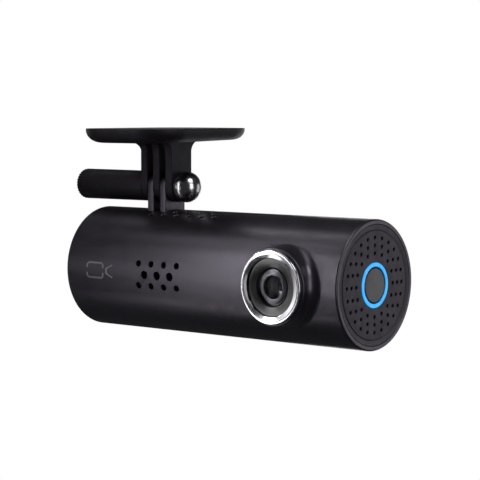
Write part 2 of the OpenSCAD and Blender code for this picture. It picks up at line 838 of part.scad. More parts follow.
module reset_plunger() {
    x0 = cap_back + 0.5;
    color("#e8e4da") at_barrel() translate([0, socket_y, reset_z]) rod_x(0.5, x0, x0 + 2);
}

// Flat lithium cell behind the main board.
module battery() {
    cell_t = 5.6;
    corner_r = 1.5;
    color("#3f6f9f") at_barrel() hull() for (s = [-1, 1], x = [-6.5, 34])
        translate([x, 7.6, s * 8]) rotate([90, 0, 0])
            cylinder(r = corner_r, h = cell_t, center = true, $fn = 32);
}

// ---- The assembly ----

bracket();
adhesive_pad();
ball_nut();
clamp_washer();
clamp_screw();
knob();
housing_tube();
left_end_cap();
cap_screws();
end_bezel();
speaker_grille();
light_guide_ring();
power_button();
switch_plunger();
power_switch();
button_board();
ring_leds();
speaker();
lens_trim_ring();
lens_bezel();
front_element();
lens_retainer();
second_element();
aperture_stop();
rear_element();
lens_barrel();
lens_holder();
ir_filter();
image_sensor();
sensor_board();
sensor_screws();
flex_cable();
chassis();
main_board();
board_screws();
processor();
thermal_pad();
heat_spreader();
memory_chip();
microphone();
mic_boot();
wifi_antenna();
card_socket();
memory_card();
usb_socket();
reset_switch();
reset_plunger();
battery();
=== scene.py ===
"""Looks of the dash camera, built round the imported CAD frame.

Shapes are made in millimetres and scaled to metres as each piece is finished.
X runs along the barrel towards the button end, -Y is where the lens looks, +Z is up.
"""

import json
import math

import bmesh
import bpy
from mathutils import Matrix, Vector


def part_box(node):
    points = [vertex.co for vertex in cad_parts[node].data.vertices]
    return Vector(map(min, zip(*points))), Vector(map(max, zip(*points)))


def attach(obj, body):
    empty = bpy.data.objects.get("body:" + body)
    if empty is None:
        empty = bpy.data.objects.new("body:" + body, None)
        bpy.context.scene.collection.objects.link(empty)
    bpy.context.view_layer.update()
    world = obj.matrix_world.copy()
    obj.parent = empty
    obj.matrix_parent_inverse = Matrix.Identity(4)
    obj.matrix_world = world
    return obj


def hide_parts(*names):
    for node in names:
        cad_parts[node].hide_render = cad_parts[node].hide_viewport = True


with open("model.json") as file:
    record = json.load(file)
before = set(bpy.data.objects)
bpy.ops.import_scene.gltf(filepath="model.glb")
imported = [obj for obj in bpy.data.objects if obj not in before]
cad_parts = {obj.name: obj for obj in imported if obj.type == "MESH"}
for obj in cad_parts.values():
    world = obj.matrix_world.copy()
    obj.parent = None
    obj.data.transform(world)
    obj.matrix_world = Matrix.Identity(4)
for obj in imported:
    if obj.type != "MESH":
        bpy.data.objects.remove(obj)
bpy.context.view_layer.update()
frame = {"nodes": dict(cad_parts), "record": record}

MM = 0.001
TAU = 2 * math.pi


def box_mm(node):
    """A CAD node's lowest and highest corners, in millimetres."""
    low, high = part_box(node)
    return low / MM, high / MM


# ---- Places and sizes in mm, read from the CAD frame where its boxes show them ----

shell_low, shell_high = box_mm("housing_tube")
LEFT, RIGHT = shell_low.x, shell_high.x
BARREL_R = shell_high.y
BARREL_Z = shell_low.z + BARREL_R
BORE_R = BARREL_R - 1.4
trim_low, trim_high = box_mm("lens_trim_ring")
LENS_X = (trim_low.x + trim_high.x) / 2
LENS_FRONT = -trim_low.y - 0.1  # the ring's crest stands this much proud
TRIM_R = (trim_high.x - trim_low.x) / 2
NOSE_R, NOSE_BORE_R = 10.9, 9.3
NOSE_FRONT = -shell_low.y
plate_low, plate_high = box_mm("bracket")
PLATE_X = plate_high.x - plate_low.x
PLATE_Y = plate_high.y - plate_low.y
HINGE_Z = -17.5
KNUCKLE_R = 4.65
KNUCKLE_T, KNUCKLE_GAP = 2.5, 2.4
HINGE_HALF = 1.5 * KNUCKLE_T + KNUCKLE_GAP
KNUCKLE_PITCH = KNUCKLE_T + KNUCKLE_GAP
PIVOT_R = 2.06


# ---- Shapes: lists of points in mm, and faces ----

def quarter(steps, first=0):
    """Angles through a quarter turn, from step number first."""
    return [math.pi / 2 * i / steps for i in range(first, steps + 1)]


def arc(centre, radius, start, end, steps):
    """Points along an arc in a plane, from one angle in degrees to another."""
    turns = [math.radians(start + (end - start) * i / steps) for i in range(steps + 1)]
    return [(centre[0] + radius * math.cos(a), centre[1] + radius * math.sin(a)) for a in turns]


def rounded(points, radii, steps=5, closed=False):
    """A plane polyline with its corners rounded, by one radius or by one for each point."""
    count = len(points)
    if not isinstance(radii, (list, tuple)):
        radii = [radii] * count
    out = []
    for i, radius in enumerate(radii):
        corner = Vector(points[i])
        if radius <= 0 or (not closed and i in (0, count - 1)):
            out.append(tuple(corner))
            continue
        back = Vector(points[i - 1]) - corner
        ahead = Vector(points[(i + 1) % count]) - corner
        half = back.angle(ahead) / 2
        reach = min(radius / math.tan(half), 0.49 * back.length, 0.49 * ahead.length)
        back.normalize()
        ahead.normalize()
        centre = corner + (back + ahead).normalized() * (reach / math.cos(half))
        first, last = corner + back * reach - centre, corner + ahead * reach - centre
        start = math.degrees(math.atan2(first.y, first.x))
        sweep = math.degrees(math.atan2(last.y, last.x)) - start
        sweep = (sweep + 180) % 360 - 180
        out += arc(centre, first.length, start, start + sweep, steps)
    return out


def about_x(y, z):
    """Places a revolved point round an axis along X."""
    return lambda radius, turn, along: (along, y + radius * math.cos(turn), z + radius * math.sin(turn))


def about_lens(radius, turn, along):
    """Places a revolved point round the lens axis, along being the distance out."""
    return (LENS_X + radius * math.cos(turn), -along, BARREL_Z + radius * math.sin(turn))


on_barrel = about_x(0, BARREL_Z)
on_hinge = about_x(0, HINGE_Z)


def stitch(rings, closed):
    """Faces between neighbouring rings of vertex numbers. A ring of one is a pole."""
    faces = []
    pairs = list(zip(rings, rings[1:])) + ([(rings[-1], rings[0])] if closed else [])
    for a, b in pairs:
        count = max(len(a), len(b))
        for j in range(count):
            k = (j + 1) % count
            loop = (a[j % len(a)], a[k % len(a)], b[k % len(b)], b[j % len(b)])
            faces.append(tuple(dict.fromkeys(loop)))
    return faces


def lathe(profile, place, segments=192, closed=False):
    """A surface of revolution of (radius, along) points."""
    verts, rings = [], []
    for radius, along in profile:
        count = segments if radius > 1e-6 else 1
        rings.append(list(range(len(verts), len(verts) + count)))
        verts += [place(radius, TAU * j / segments, along) for j in range(count)]
    return verts, stitch(rings, closed)


def loft(rings, closed=False):
    """Equal rings of points joined into a solid, with a flat face on each open end."""
    size = len(rings[0])
    verts = [p for ring in rings for p in ring]
    numbers = [list(range(i * size, (i + 1) * size)) for i in range(len(rings))]
    faces = stitch(numbers, closed)
    if not closed:
        faces += [tuple(numbers[0]), tuple(numbers[-1])]
    return verts, faces


def inset(outline, amount):
    """A closed outline moved inwards by amount, its points going anticlockwise."""
    moved = []
    for i, p in enumerate(outline):
        before, after = Vector(outline[i - 1]), Vector(outline[(i + 1) % len(outline)])
        along = (Vector(p) - before).normalized() + (after - Vector(p)).normalized()
        along.normalize()
        moved.append((p[0] - along.y * amount, p[1] + along.x * amount))
    return moved


def slab(outline, low, high, edge, place, steps=4):
    """An extruded outline with rounded edges. place(a, b, along) gives a point."""
    stations = [(low + edge * (1 - math.cos(t)), edge * (1 - math.sin(t))) for t in quarter(steps)]
    stations += [(high - (along - low), shrink) for along, shrink in reversed(stations)]
    return loft([[place(a, b, along) for a, b in inset(outline, shrink)]
                 for along, shrink in stations])


def join(*shapes):
    """Several shapes as one."""
    verts, faces = [], []
    for points, loops in shapes:
        first = len(verts)
        verts += points
        faces += [tuple(first + i for i in loop) for loop in loops]
    return verts, faces


def to_mesh(name, shape):
    """A mesh in millimetres with its faces turned outwards."""
    mesh = bpy.data.meshes.new(name)
    mesh.from_pydata([Vector(p) for p in shape[0]], [], shape[1])
    work = bmesh.new()
    work.from_mesh(mesh)
    bmesh.ops.remove_doubles(work, verts=work.verts, dist=1e-5)
    bmesh.ops.recalc_face_normals(work, faces=work.faces)
    work.to_mesh(mesh)
    work.free()
    return mesh


def combine(base, tool, operation):
    """The union or difference of two meshes, as a new mesh. Both old ones are used up."""
    base_object = bpy.data.objects.new("base", base)
    tool_object = bpy.data.objects.new("tool", tool)
    for o in (base_object, tool_object):
        bpy.context.scene.collection.objects.link(o)
    step = base_object.modifiers.new("combine", "BOOLEAN")
    step.object, step.operation, step.solver = tool_object, operation, "EXACT"
    depsgraph = bpy.context.evaluated_depsgraph_get()
    result = bpy.data.meshes.new_from_object(base_object.evaluated_get(depsgraph))
    for o in (base_object, tool_object):
        data = o.data
        bpy.data.objects.remove(o)
        bpy.data.meshes.remove(data)
    return result


def cutter(radius, edge, depth, origin, direction, segments=32):
    """A tool for a round hole whose mouth is rounded. origin is on the cut surface."""
    flare = arc((radius + edge, -edge), edge, 180, 90, 4)
    profile = [(0, -depth), (radius, -depth)] + flare + [(radius + edge + 0.3, 0.35), (0, 0.35)]
    turn = Vector((0, 0, 1)).rotation_difference(Vector(direction)).to_matrix()
    middle = Vector(origin)
    return lathe(profile, lambda r, a, along: tuple(
        middle + turn @ Vector((r * math.cos(a), r * math.sin(a), along))), segments)


def finish(mesh, name, material, body, replaced=(), sharp=32, weighted=False):
    """Turns a mesh in millimetres into a piece that rides on a CAD body."""
    mesh.name = name
    mesh.transform(Matrix.Scale(MM, 4))
    mesh.shade_smooth()
    mesh.set_sharp_from_angle(angle=math.radians(sharp))
    mesh.materials.clear()
    mesh.materials.append(material)
    made = bpy.data.objects.new(name, mesh)
    bpy.context.scene.collection.objects.link(made)
    if weighted:
        made.modifiers.new("normals", "WEIGHTED_NORMAL").keep_sharp = True
    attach(made, body)
    if replaced:
        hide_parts(*replaced)
    return made


# ---- Looks ----

class Look:
    """A node material on the Principled shader, in object coordinates."""

    def __init__(self, name, colour, rough, metal=0.0, **sockets):
        self.material = bpy.data.materials.new(name)
        self.material.use_nodes = True
        self.tree = self.material.node_tree
        self.shader = self.tree.nodes["Principled BSDF"]
        self.shader.inputs["Base Color"].default_value = (*colour, 1)
        self.shader.inputs["Roughness"].default_value = rough
        self.shader.inputs["Metallic"].default_value = metal
        for socket, value in sockets.items():
            self.shader.inputs[socket.replace("_", " ")].default_value = value
        self.colour = colour
        self.place = self.node("TexCoord").outputs["Object"]
        self.last_normal = None

    def node(self, kind, settings=None, **inputs):
        """Adds a node, with its settings and its inputs by name or number."""
        made = self.tree.nodes.new("ShaderNode" + kind)
        for key, value in (settings or {}).items():
            setattr(made, key, value)
        for key, value in inputs.items():
            key = int(key[1:]) if key[0] == "i" and key[1:].isdigit() else key.replace("_", " ")
            if isinstance(value, bpy.types.NodeSocket):
                self.tree.links.new(value, made.inputs[key])
            else:
                made.inputs[key].default_value = value
        return made

    def link(self, output, socket):
        """Leads a node's output to one of the shader's sockets."""
        self.tree.links.new(output, self.shader.inputs[socket])
        return self

    def noise(self, size_mm, detail=2.0, stretch=(1, 1, 1)):
        """Noise whose lumps are about size_mm across."""
        place = self.place
        if stretch != (1, 1, 1):
            place = self.node("Mapping", Vector=place, Scale=stretch).outputs[0]
        return self.node("TexNoise", Vector=place, Scale=1 / (size_mm * MM), Detail=detail).outputs[0]

    def cells(self, size_mm):
        """Distance within rounded cells about size_mm across."""
        return self.node("TexVoronoi", None, Vector=self.place,
                         Scale=1 / (size_mm * MM)).outputs["Distance"]

    def span(self, value, low, high, to_low, to_high):
        """A value moved from one span to another."""
        return self.node("MapRange", None, Value=value, From_Min=low, From_Max=high,
                         To_Min=to_low, To_Max=to_high).outputs[0]

    def math(self, operation, a, b):
        """A sum, product or comparison of two values."""
        return self.node("Math", {"operation": operation}, i0=a, i1=b).outputs[0]

    def blend(self, factor, a, b):
        """A colour between a and b."""
        ends = [(*c, 1) if isinstance(c, tuple) and len(c) == 3 else c for c in (a, b)]
        return self.node("Mix", {"data_type": "RGBA"}, i0=factor, i6=ends[0], i7=ends[1]).outputs[2]

    def mottle(self, size_mm, amount, detail=3.0):
        """Slow variation of the base colour, by amount either way."""
        factor = self.span(self.noise(size_mm, detail), 0.3, 0.7, 0, 1)
        dark, light = (tuple(c * (1 + s * amount) for c in self.colour) for s in (-1, 1))
        return self.link(self.blend(factor, dark, light), "Base Color")

    def roughen(self, size_mm, low, high, detail=3.0, stretch=(1, 1, 1)):
        """Roughness that varies from low to high."""
        noise = self.noise(size_mm, detail, stretch)
        return self.link(self.span(noise, 0.3, 0.7, low, high), "Roughness")

    def relief(self, height, depth_mm, strength=1.0):
        """Bump from a height value, on top of any bump before it."""
        inputs = {"Height": height, "Distance": depth_mm * MM, "Strength": strength}
        if self.last_normal:
            inputs["Normal"] = self.last_normal
        self.last_normal = self.node("Bump", None, **inputs).outputs[0]
        return self.link(self.last_normal, "Normal")


def moulded(name, colour, rough, grain_mm=0.16, grain_depth=0.004, spread=0.05, **sockets):
    """Moulded plastic: spark-eroded grain, slow sink marks and slightly uneven gloss."""
    look = Look(name, colour, rough, **sockets)
    look.mottle(5, 0.07)
    look.roughen(3.5, rough - spread, rough + spread)
    look.relief(look.noise(9, 1), 0.012, 0.5)
    look.relief(look.noise(grain_mm, 2), grain_depth)
    return look.material


def polished(name, colour, rough, spread=0.02):
    """Plated or polished metal with faint wipe marks."""
    look = Look(name, colour, rough, 1.0)
    look.mottle(4, 0.03)
    look.roughen(2.5, max(rough - spread, 0.01), rough + spread, 4, (1, 3, 3))
    look.relief(look.noise(6, 1), 0.004, 0.3)
    return look.material


def brushed(name, colour, rough, direction=(0.05, 1, 1)):
    """Rolled or turned metal, with fine lines along one axis."""
    look = Look(name, colour, rough, 1.0)
    look.mottle(3, 0.08)
    look.roughen(0.25, rough - 0.08, rough + 0.08, 2, direction)
    look.relief(look.noise(0.12, 2, direction), 0.003, 0.6)
    return look.material


def glass(name, tint, ior=1.5):
    """Optical glass. A dark tint in reflection, and a low index where given, stand for its coating."""
    look = Look(name, tint, 0.0, Transmission_Weight=1.0, IOR=ior,
                Specular_Tint=(0.05, 0.048, 0.065, 1.0))
    look.roughen(4, 0.0, 0.004)
    return look.material


def circuit(name):
    """Green board with copper tracks under the mask, and small solder pads."""
    look = Look(name, (0.008, 0.07, 0.03), 0.35, Coat_Weight=0.4)
    tracks = look.node("TexBrick", None, Vector=look.node("Mapping", Vector=look.place,
                       Rotation=(math.pi / 2, 0, 0)).outputs[0], Scale=620.0, Mortar_Size=0.06,
                       Mortar_Smooth=0.1, Brick_Width=0.9, Row_Height=0.4).outputs["Fac"]
    board = look.blend(tracks, (0.006, 0.055, 0.024), (0.03, 0.16, 0.06))
    pads = look.math("LESS_THAN", look.cells(1.9), 0.14)
    look.link(look.blend(pads, board, (0.55, 0.52, 0.45)), "Base Color")
    look.link(look.math("MULTIPLY", pads, 0.9), "Metallic")
    look.roughen(2, 0.28, 0.42)
    look.relief(look.math("ADD", tracks, pads), 0.02, 0.6)
    return look.material


def foam(name, colour, cell_mm=0.3):
    """Closed-cell foam tape."""
    look = Look(name, colour, 0.85, Sheen_Weight=0.15)
    look.mottle(2, 0.2)
    look.relief(look.cells(cell_mm), 0.05)
    look.relief(look.noise(5, 2), 0.05, 0.5)
    return look.material


def wrapped(name, colour, rough):
    """A shrunk plastic film with shallow creases."""
    look = Look(name, colour, rough, Coat_Weight=0.3)
    look.mottle(6, 0.1)
    look.roughen(4, rough - 0.08, rough + 0.1)
    look.relief(look.noise(7, 3, (0.25, 1, 1)), 0.12)
    return look.material


def lit(name, colour, glow, strength):
    """A clear ring lit from behind, which glows a little unevenly and only on its outward face."""
    look = Look(name, colour, 0.3, Coat_Weight=0.5)
    cloud = look.span(look.noise(2.5, 1), 0.3, 0.7, 0, 1)
    edge = tuple(c * 0.72 for c in glow)
    look.link(look.blend(cloud, edge, glow), "Emission Color")
    facing = look.node("SeparateXYZ", None, Vector=look.node("NewGeometry").outputs["True Normal"])
    look.link(look.span(facing.outputs["X"], 0.1, 0.6, 0, strength), "Emission Strength")
    look.roughen(1.5, 0.22, 0.38)
    look.relief(look.noise(0.8, 2), 0.01, 0.4)
    return look.material


VIOLET = (0.9, 0.83, 1.0, 1.0)

looks = {
    "bracket_plastic": moulded("bracket_plastic", (0.0085, 0.0071, 0.009), 0.5, 0.2, 0.004,
                               Specular_IOR_Level=0.3, Specular_Tint=VIOLET),
    "pad_foam": foam("pad_foam", (0.03, 0.029, 0.031)),
    "polished_ball": polished("polished_ball", (0.45, 0.44, 0.45), 0.2),
    "zinc_steel": brushed("zinc_steel", (0.52, 0.53, 0.56), 0.34),
    "knob_plastic": moulded("knob_plastic", (0.009, 0.0075, 0.0095), 0.48, 0.2, 0.004,
                            Specular_IOR_Level=0.3, Specular_Tint=VIOLET),
    "shell_plastic": moulded("shell_plastic", (0.0105, 0.0088, 0.0112), 0.335,
                             Specular_IOR_Level=0.9, Specular_Tint=VIOLET),
    "cap_plastic": moulded("cap_plastic", (0.016, 0.015, 0.019), 0.46),
    "black_screw": brushed("black_screw", (0.06, 0.06, 0.065), 0.38),
    "bezel_plastic": moulded("bezel_plastic", (0.02, 0.018, 0.0225), 0.4, 0.3, 0.002,
                             Specular_Tint=VIOLET),
    "grille_plastic": moulded("grille_plastic", (0.02, 0.0172, 0.0235), 0.45, Specular_Tint=VIOLET),
    "light_guide": lit("light_guide", (0.01, 0.2, 0.5), (0.006, 0.4, 0.93), 1.0),
    "button_plastic": moulded("button_plastic", (0.022, 0.0215, 0.029), 0.26, 0.3, 0.0015, 0.04,
                              Coat_Weight=0.15, Coat_Roughness=0.08),
    "white_plastic": moulded("white_plastic", (0.72, 0.7, 0.66), 0.4),
    "switch_body": moulded("switch_body", (0.045, 0.045, 0.05), 0.45),
    "circuit_board": circuit("circuit_board"),
    "light_source": moulded("light_source", (0.85, 0.82, 0.62), 0.25, Coat_Weight=0.6),
    "speaker_frame": brushed("speaker_frame", (0.1, 0.1, 0.105), 0.45),
    "trim_chrome": polished("trim_chrome", (0.66, 0.65, 0.68), 0.12),
    "lens_black": moulded("lens_black", (0.006, 0.006, 0.007), 0.2, 0.4, 0.0006, 0.03,
                          Specular_IOR_Level=0.6),
    "lens_glass": glass("lens_glass", (0.96, 0.98, 1.0), ior=1.2),
    "retainer_black": polished("retainer_black", (0.085, 0.083, 0.088), 0.24, 0.03),
    "black_anodised": brushed("black_anodised", (0.008, 0.008, 0.009), 0.4, (1, 1, 1)),
    "holder_plastic": moulded("holder_plastic", (0.018, 0.018, 0.02), 0.5),
    "filter_glass": glass("filter_glass", (0.45, 0.85, 0.75)),
    "sensor_package": wrapped("sensor_package", (0.05, 0.035, 0.11), 0.2),
    "flex_polyimide": wrapped("flex_polyimide", (0.42, 0.16, 0.03), 0.3),
    "chassis_plastic": moulded("chassis_plastic", (0.09, 0.09, 0.1), 0.5),
    "chip_epoxy": moulded("chip_epoxy", (0.022, 0.022, 0.025), 0.55, 0.1, 0.01),
    "thermal_silicone": foam("thermal_silicone", (0.32, 0.45, 0.55), 0.5),
    "spreader_aluminium": brushed("spreader_aluminium", (0.68, 0.69, 0.71), 0.36),
    "plated_can": brushed("plated_can", (0.62, 0.62, 0.63), 0.28),
    "boot_rubber": moulded("boot_rubber", (0.02, 0.02, 0.021), 0.7, 0.25, 0.01),
    "antenna_laminate": moulded("antenna_laminate", (0.62, 0.5, 0.28), 0.4, 0.4, 0.01),
    "card_plastic": moulded("card_plastic", (0.013, 0.013, 0.015), 0.38, 0.2, 0.003),
    "cell_wrap": wrapped("cell_wrap", (0.03, 0.13, 0.32), 0.32),
}

printed_grey = moulded("printed_grey", (0.22, 0.215, 0.23), 0.5, 0.1, 0.003)

slots = {part["node"]: part["material_slot"] for part in frame["record"]["subparts"]}
for name, slot in slots.items():
    mesh = frame["nodes"][name].data
    mesh.materials.clear()
    mesh.materials.append(looks[slot])


# ---- Barrel shell ----

COLUMNS = 256
FILLET_R = 3.0
# The window in the barrel's grid that the lens nose fills: half its columns, half its length, its rows
WINDOW_COLUMNS, WINDOW_X, WINDOW_ROWS = 33, 14.3, 60
VENT_PITCH = 4.9
VENT_R = 0.8


def fillet_section(turn, steps=12):
    """The nose fillet in the half-plane at one angle round the lens axis.

    Points of (radius, distance out), from where it leaves the barrel to the nose wall.
    """
    sine = math.sin(turn)
    low, high = NOSE_R, NOSE_R + FILLET_R
    for _ in range(40):  # halves the span round the radius where fillet and barrel are tangent
        radius = (low + high) / 2
        height = math.sqrt(BARREL_R ** 2 - (radius * sine) ** 2)
        slope = -radius * sine * sine / height
        long = math.hypot(1, slope)
        if radius - FILLET_R * slope / long > NOSE_R + FILLET_R:
            high = radius
        else:
            low = radius
    centre = (NOSE_R + FILLET_R, height + FILLET_R / long)
    start = math.degrees(math.atan2(-1, slope))
    return arc(centre, FILLET_R, start, -180, steps)


def shell_profile():
    """The tube wall's section as (radius, x), and how many rows lie left of the window."""
    window = [LENS_X - WINDOW_X + 2 * WINDOW_X * i / WINDOW_ROWS for i in range(WINDOW_ROWS + 1)]
    spacing = 2 * WINDOW_X / WINDOW_ROWS
    edge, lip = 0.5, 0.18
    left, right = LEFT + edge, RIGHT - edge
    left_rows = max(1, round((window[0] - left) / 2))
    rows = [left + (window[0] - left) * i / left_rows for i in range(left_rows)]
    rows += window
    right_rows = max(1, round((right - window[-1]) / spacing / 2))
    rows += [window[-1] + (right - window[-1]) * (i + 1) / right_rows for i in range(right_rows)]
    profile = [(BARREL_R, x) for x in rows]
    profile += [(BARREL_R - edge + edge * math.cos(a), right + edge * math.sin(a))
                for a in quarter(6, 1)]
    profile += [(BORE_R + lip - lip * math.sin(a), RIGHT - lip + lip * math.cos(a))
                for a in quarter(4)]
    profile += [(BORE_R + lip - lip * math.cos(a), LEFT + lip - lip * math.sin(a))
                for a in quarter(4)]
    profile += [(BARREL_R - edge + edge * math.sin(a), left - edge * math.cos(a))
                for a in quarter(6)[:-1]]
    return profile, left_rows


def shell_blank():
    """The barrel as a closed tube wall, with the filleted lens nose still solid."""
    profile, first_row = shell_profile()
    verts, faces = [], []
    rings = []
    for radius, along in profile:
        rings.append(list(range(len(verts), len(verts) + COLUMNS)))
        for j in range(COLUMNS):
            turn = TAU * (j - COLUMNS // 2) / COLUMNS
            verts.append((along, -radius * math.cos(turn), BARREL_Z + radius * math.sin(turn)))
    last_row = first_row + WINDOW_ROWS
    low, high = COLUMNS // 2 - WINDOW_COLUMNS, COLUMNS // 2 + WINDOW_COLUMNS
    for i, a in enumerate(rings):
        b = rings[(i + 1) % len(rings)]
        for j in range(COLUMNS):
            if first_row <= i < last_row and low <= j < high:
                continue
            k = (j + 1) % COLUMNS
            faces.append((a[j], a[k], b[k], b[j]))
    border = [rings[last_row][j] for j in range(low, high)]
    border += [rings[i][high] for i in range(last_row, first_row, -1)]
    border += [rings[first_row][j] for j in range(high, low, -1)]
    border += [rings[i][low] for i in range(first_row, last_row)]
    turns = [math.atan2(verts[n][2] - BARREL_Z, verts[n][0] - LENS_X) for n in border]
    reach = [math.hypot(verts[n][2] - BARREL_Z, verts[n][0] - LENS_X) for n in border]
    sections = [fillet_section(t) for t in turns]
    patch = [border]

    def add_ring(points):
        patch.append(list(range(len(verts), len(verts) + len(points))))
        verts.extend(points)

    approach = 8
    for step in range(1, approach):
        ring = []
        for turn, far, section in zip(turns, reach, sections):
            radius = far + (section[0][0] - far) * step / approach
            height = math.sqrt(BARREL_R ** 2 - (radius * math.sin(turn)) ** 2)
            ring.append(about_lens(radius, turn, height))
        add_ring(ring)
    for step in range(len(sections[0])):
        add_ring([about_lens(section[step][0], turn, section[step][1])
                  for turn, section in zip(turns, sections)])
    nose_edge = 0.45
    for radius, along in arc((NOSE_R - nose_edge, NOSE_FRONT - nose_edge), nose_edge, 0, 90, 5):
        add_ring([about_lens(radius, turn, along) for turn in turns])
    add_ring([about_lens(0, 0, NOSE_FRONT)])
    return verts, faces + stitch(patch, False)


def on_shell(x, turn):
    """A point on the barrel's surface and the way out of it. turn is degrees up from ahead."""
    a = math.radians(turn)
    out = (0, -math.cos(a), math.sin(a))
    return (x, out[1] * BARREL_R, BARREL_Z + out[2] * BARREL_R), out


def shell_holes():
    """Where the shell's round holes are, each as (radius, x, turn)."""
    row = math.degrees(math.asin(3.25 / BARREL_R))
    holes = [(0.93, k * VENT_PITCH, s * row) for s in (-1, 1) for k in (1, 2, 3, 4)]
    holes += [(1.22, k * VENT_PITCH, 0) for k in (1.5, 2.5, 3.5)]
    for places, turn in (((0, 1, 2, 3, 4, 5), 67.5), ((1.5, 2.5, 3.5, 4.5), 76), ((2, 3, 4), 84.5)):
        holes += [(VENT_R, k * VENT_PITCH, side) for k in places for side in (turn, 180 - turn)]
    return holes


def ear_outline():
    """One clevis ear seen along X, as (y, z) points going anticlockwise."""
    radius, foot = KNUCKLE_R - 0.2, BARREL_Z + BORE_R + 0.4
    return [(-radius, foot), (radius, foot)] + arc((0, HINGE_Z), radius, 0, 180, 40)


def analytic_normals(mesh):
    """Gives the plain barrel surface the normals of a true cylinder. Works in metres."""
    normals = [(0.0, 0.0, 0.0)] * len(mesh.loops)
    radius, height = BARREL_R * MM, BARREL_Z * MM
    near, parallel = 0.03 * MM, 0.9995
    for face in mesh.polygons:
        out = Vector((0, face.center.y, face.center.z - height))
        if abs(out.length - radius) > near or face.normal.dot(out.normalized()) < parallel:
            continue
        for loop in face.loop_indices:
            at = mesh.vertices[mesh.loops[loop].vertex_index].co
            normals[loop] = tuple(Vector((0, at.y, at.z - height)).normalized())
    mesh.normals_split_custom_set(normals)


def make_shell():
    shell = to_mesh("shell", shell_blank())
    thick = KNUCKLE_GAP - 0.1
    ears = []
    for side in (-1, 1):
        low = side * KNUCKLE_PITCH / 2 - thick / 2
        ears.append(slab(ear_outline(), low, low + thick, 0.3, lambda y, z, x: (x, y, z)))
    shell = combine(shell, to_mesh("ears", join(*ears)), "UNION")
    tools = [cutter(radius, 0.3 if radius == VENT_R else 0.14, 3, *on_shell(x, turn), 40)
             for radius, x, turn in shell_holes()]
    tools.append(cutter(NOSE_BORE_R, 0.12, 10, (LENS_X, -NOSE_FRONT, BARREL_Z), (0, -1, 0), 160))
    tools.append(lathe([(0, -9), (PIVOT_R, -9), (PIVOT_R, 9), (0, 9)], on_hinge, 64))
    shell = combine(shell, to_mesh("tools", join(*tools)), "DIFFERENCE")
    made = finish(shell, "barrel_shell", looks["shell_plastic"], "camera",
                  ["housing_tube"])
    analytic_normals(made.data)


make_shell()


# ---- Shared by the smaller pieces ----

def turned(node, points, radii=0, place=about_lens, segments=192, body="camera", steps=5):
    """A piece of revolution that takes a CAD node's place.

    A profile that starts on the axis stays open, and its ends are the poles. Any other is a ring.
    """
    ring = points[0][0] > 1e-6
    profile = rounded(points, radii, steps, closed=ring)
    mesh = to_mesh(node, lathe(profile, place, segments, closed=ring))
    return finish(mesh, node + "_fine", looks[slots[node]], body, [node])


def plate_outline(half_x, low_y, high_y, corner, steps=24):
    """A rectangle with round corners, as (x, y) points going anticlockwise."""
    return (arc((half_x - corner, low_y + corner), corner, -90, 0, steps)
            + arc((half_x - corner, high_y - corner), corner, 0, 90, steps)
            + arc((-half_x + corner, high_y - corner), corner, 90, 180, steps)
            + arc((-half_x + corner, low_y + corner), corner, 180, 270, steps))


# ---- Bracket, clamp screw and knob ----

PAD_MARGIN = 1.6
PAD_T = 0.9
PLATE_T = 3.825
PLATE_CORNER = 12
UNDER_RISE = 0.95 / PLATE_Y  # how much the underside rises for each mm towards the back
KEY_HALF = 2.65
BALL_R = 4.6


def key_outline(half, edge):
    """The square that stops the ball nut turning, as (y, z) points."""
    corners = [(half, -half), (half, half), (-half, half), (-half, -half)]
    return rounded(corners, edge, 3, True)


def plate_shape(steps=16):
    """The plate: a recess for the pad, a thin upright rim and sides that curve inwards."""
    brim = plate_outline(PLATE_X / 2, -PLATE_Y / 2, PLATE_Y / 2, PLATE_CORNER)
    inner, outer = 0.15, 0.18
    stations = [(PAD_MARGIN, -PAD_T)]
    stations += [(PAD_MARGIN - inner + inner * math.cos(t), -inner + inner * math.sin(t))
                 for t in quarter(4)]
    stations += [(outer - outer * math.sin(t), -outer + outer * math.cos(t)) for t in quarter(4)]
    rings = [[(x, y, z) for x, y in inset(brim, shrink)] for shrink, z in stations]
    for t in quarter(steps):
        sink, shrink = math.sin(t), 1 - math.cos(t)
        low, high = -PLATE_Y / 2 + 3.9 * shrink, PLATE_Y / 2 - 2.2 * shrink
        outline = plate_outline(PLATE_X / 2 - 5 * shrink, low, high, PLATE_CORNER - 4 * shrink)
        middle = (low + high) / 2
        rings.append([(x, y, -0.4 + sink * (0.4 - PLATE_T + UNDER_RISE * (y - middle)))
                      for x, y in outline])
    return loft(rings)


def flare(z, tangent, radius):
    """How far a fillet stands out from a wall at one height below a ceiling it is tangent to."""
    sink = min(max(tangent - z, 0), radius)
    return radius - math.sqrt(radius ** 2 - (radius - sink) ** 2)


def post_root():
    """The post's upper end, filleted into the plate in front, behind and on the knob's side."""
    rings = []
    for i in range(29):
        z = -3.2 - 4.5 * (i / 28) ** 1.6
        low_x, high_x = -HINGE_HALF - flare(z, -3.98, 3), HINGE_HALF
        low_y, high_y = -KNUCKLE_R - flare(z, -3.95, 3), KNUCKLE_R + flare(z, -3.72, 3.6)
        corners = [(low_x, low_y), (high_x, low_y), (high_x, high_y), (low_x, high_y)]
        rings.append([(x, y, z) for x, y in rounded(corners, 0.28, 4, True)])
    return loft(rings)


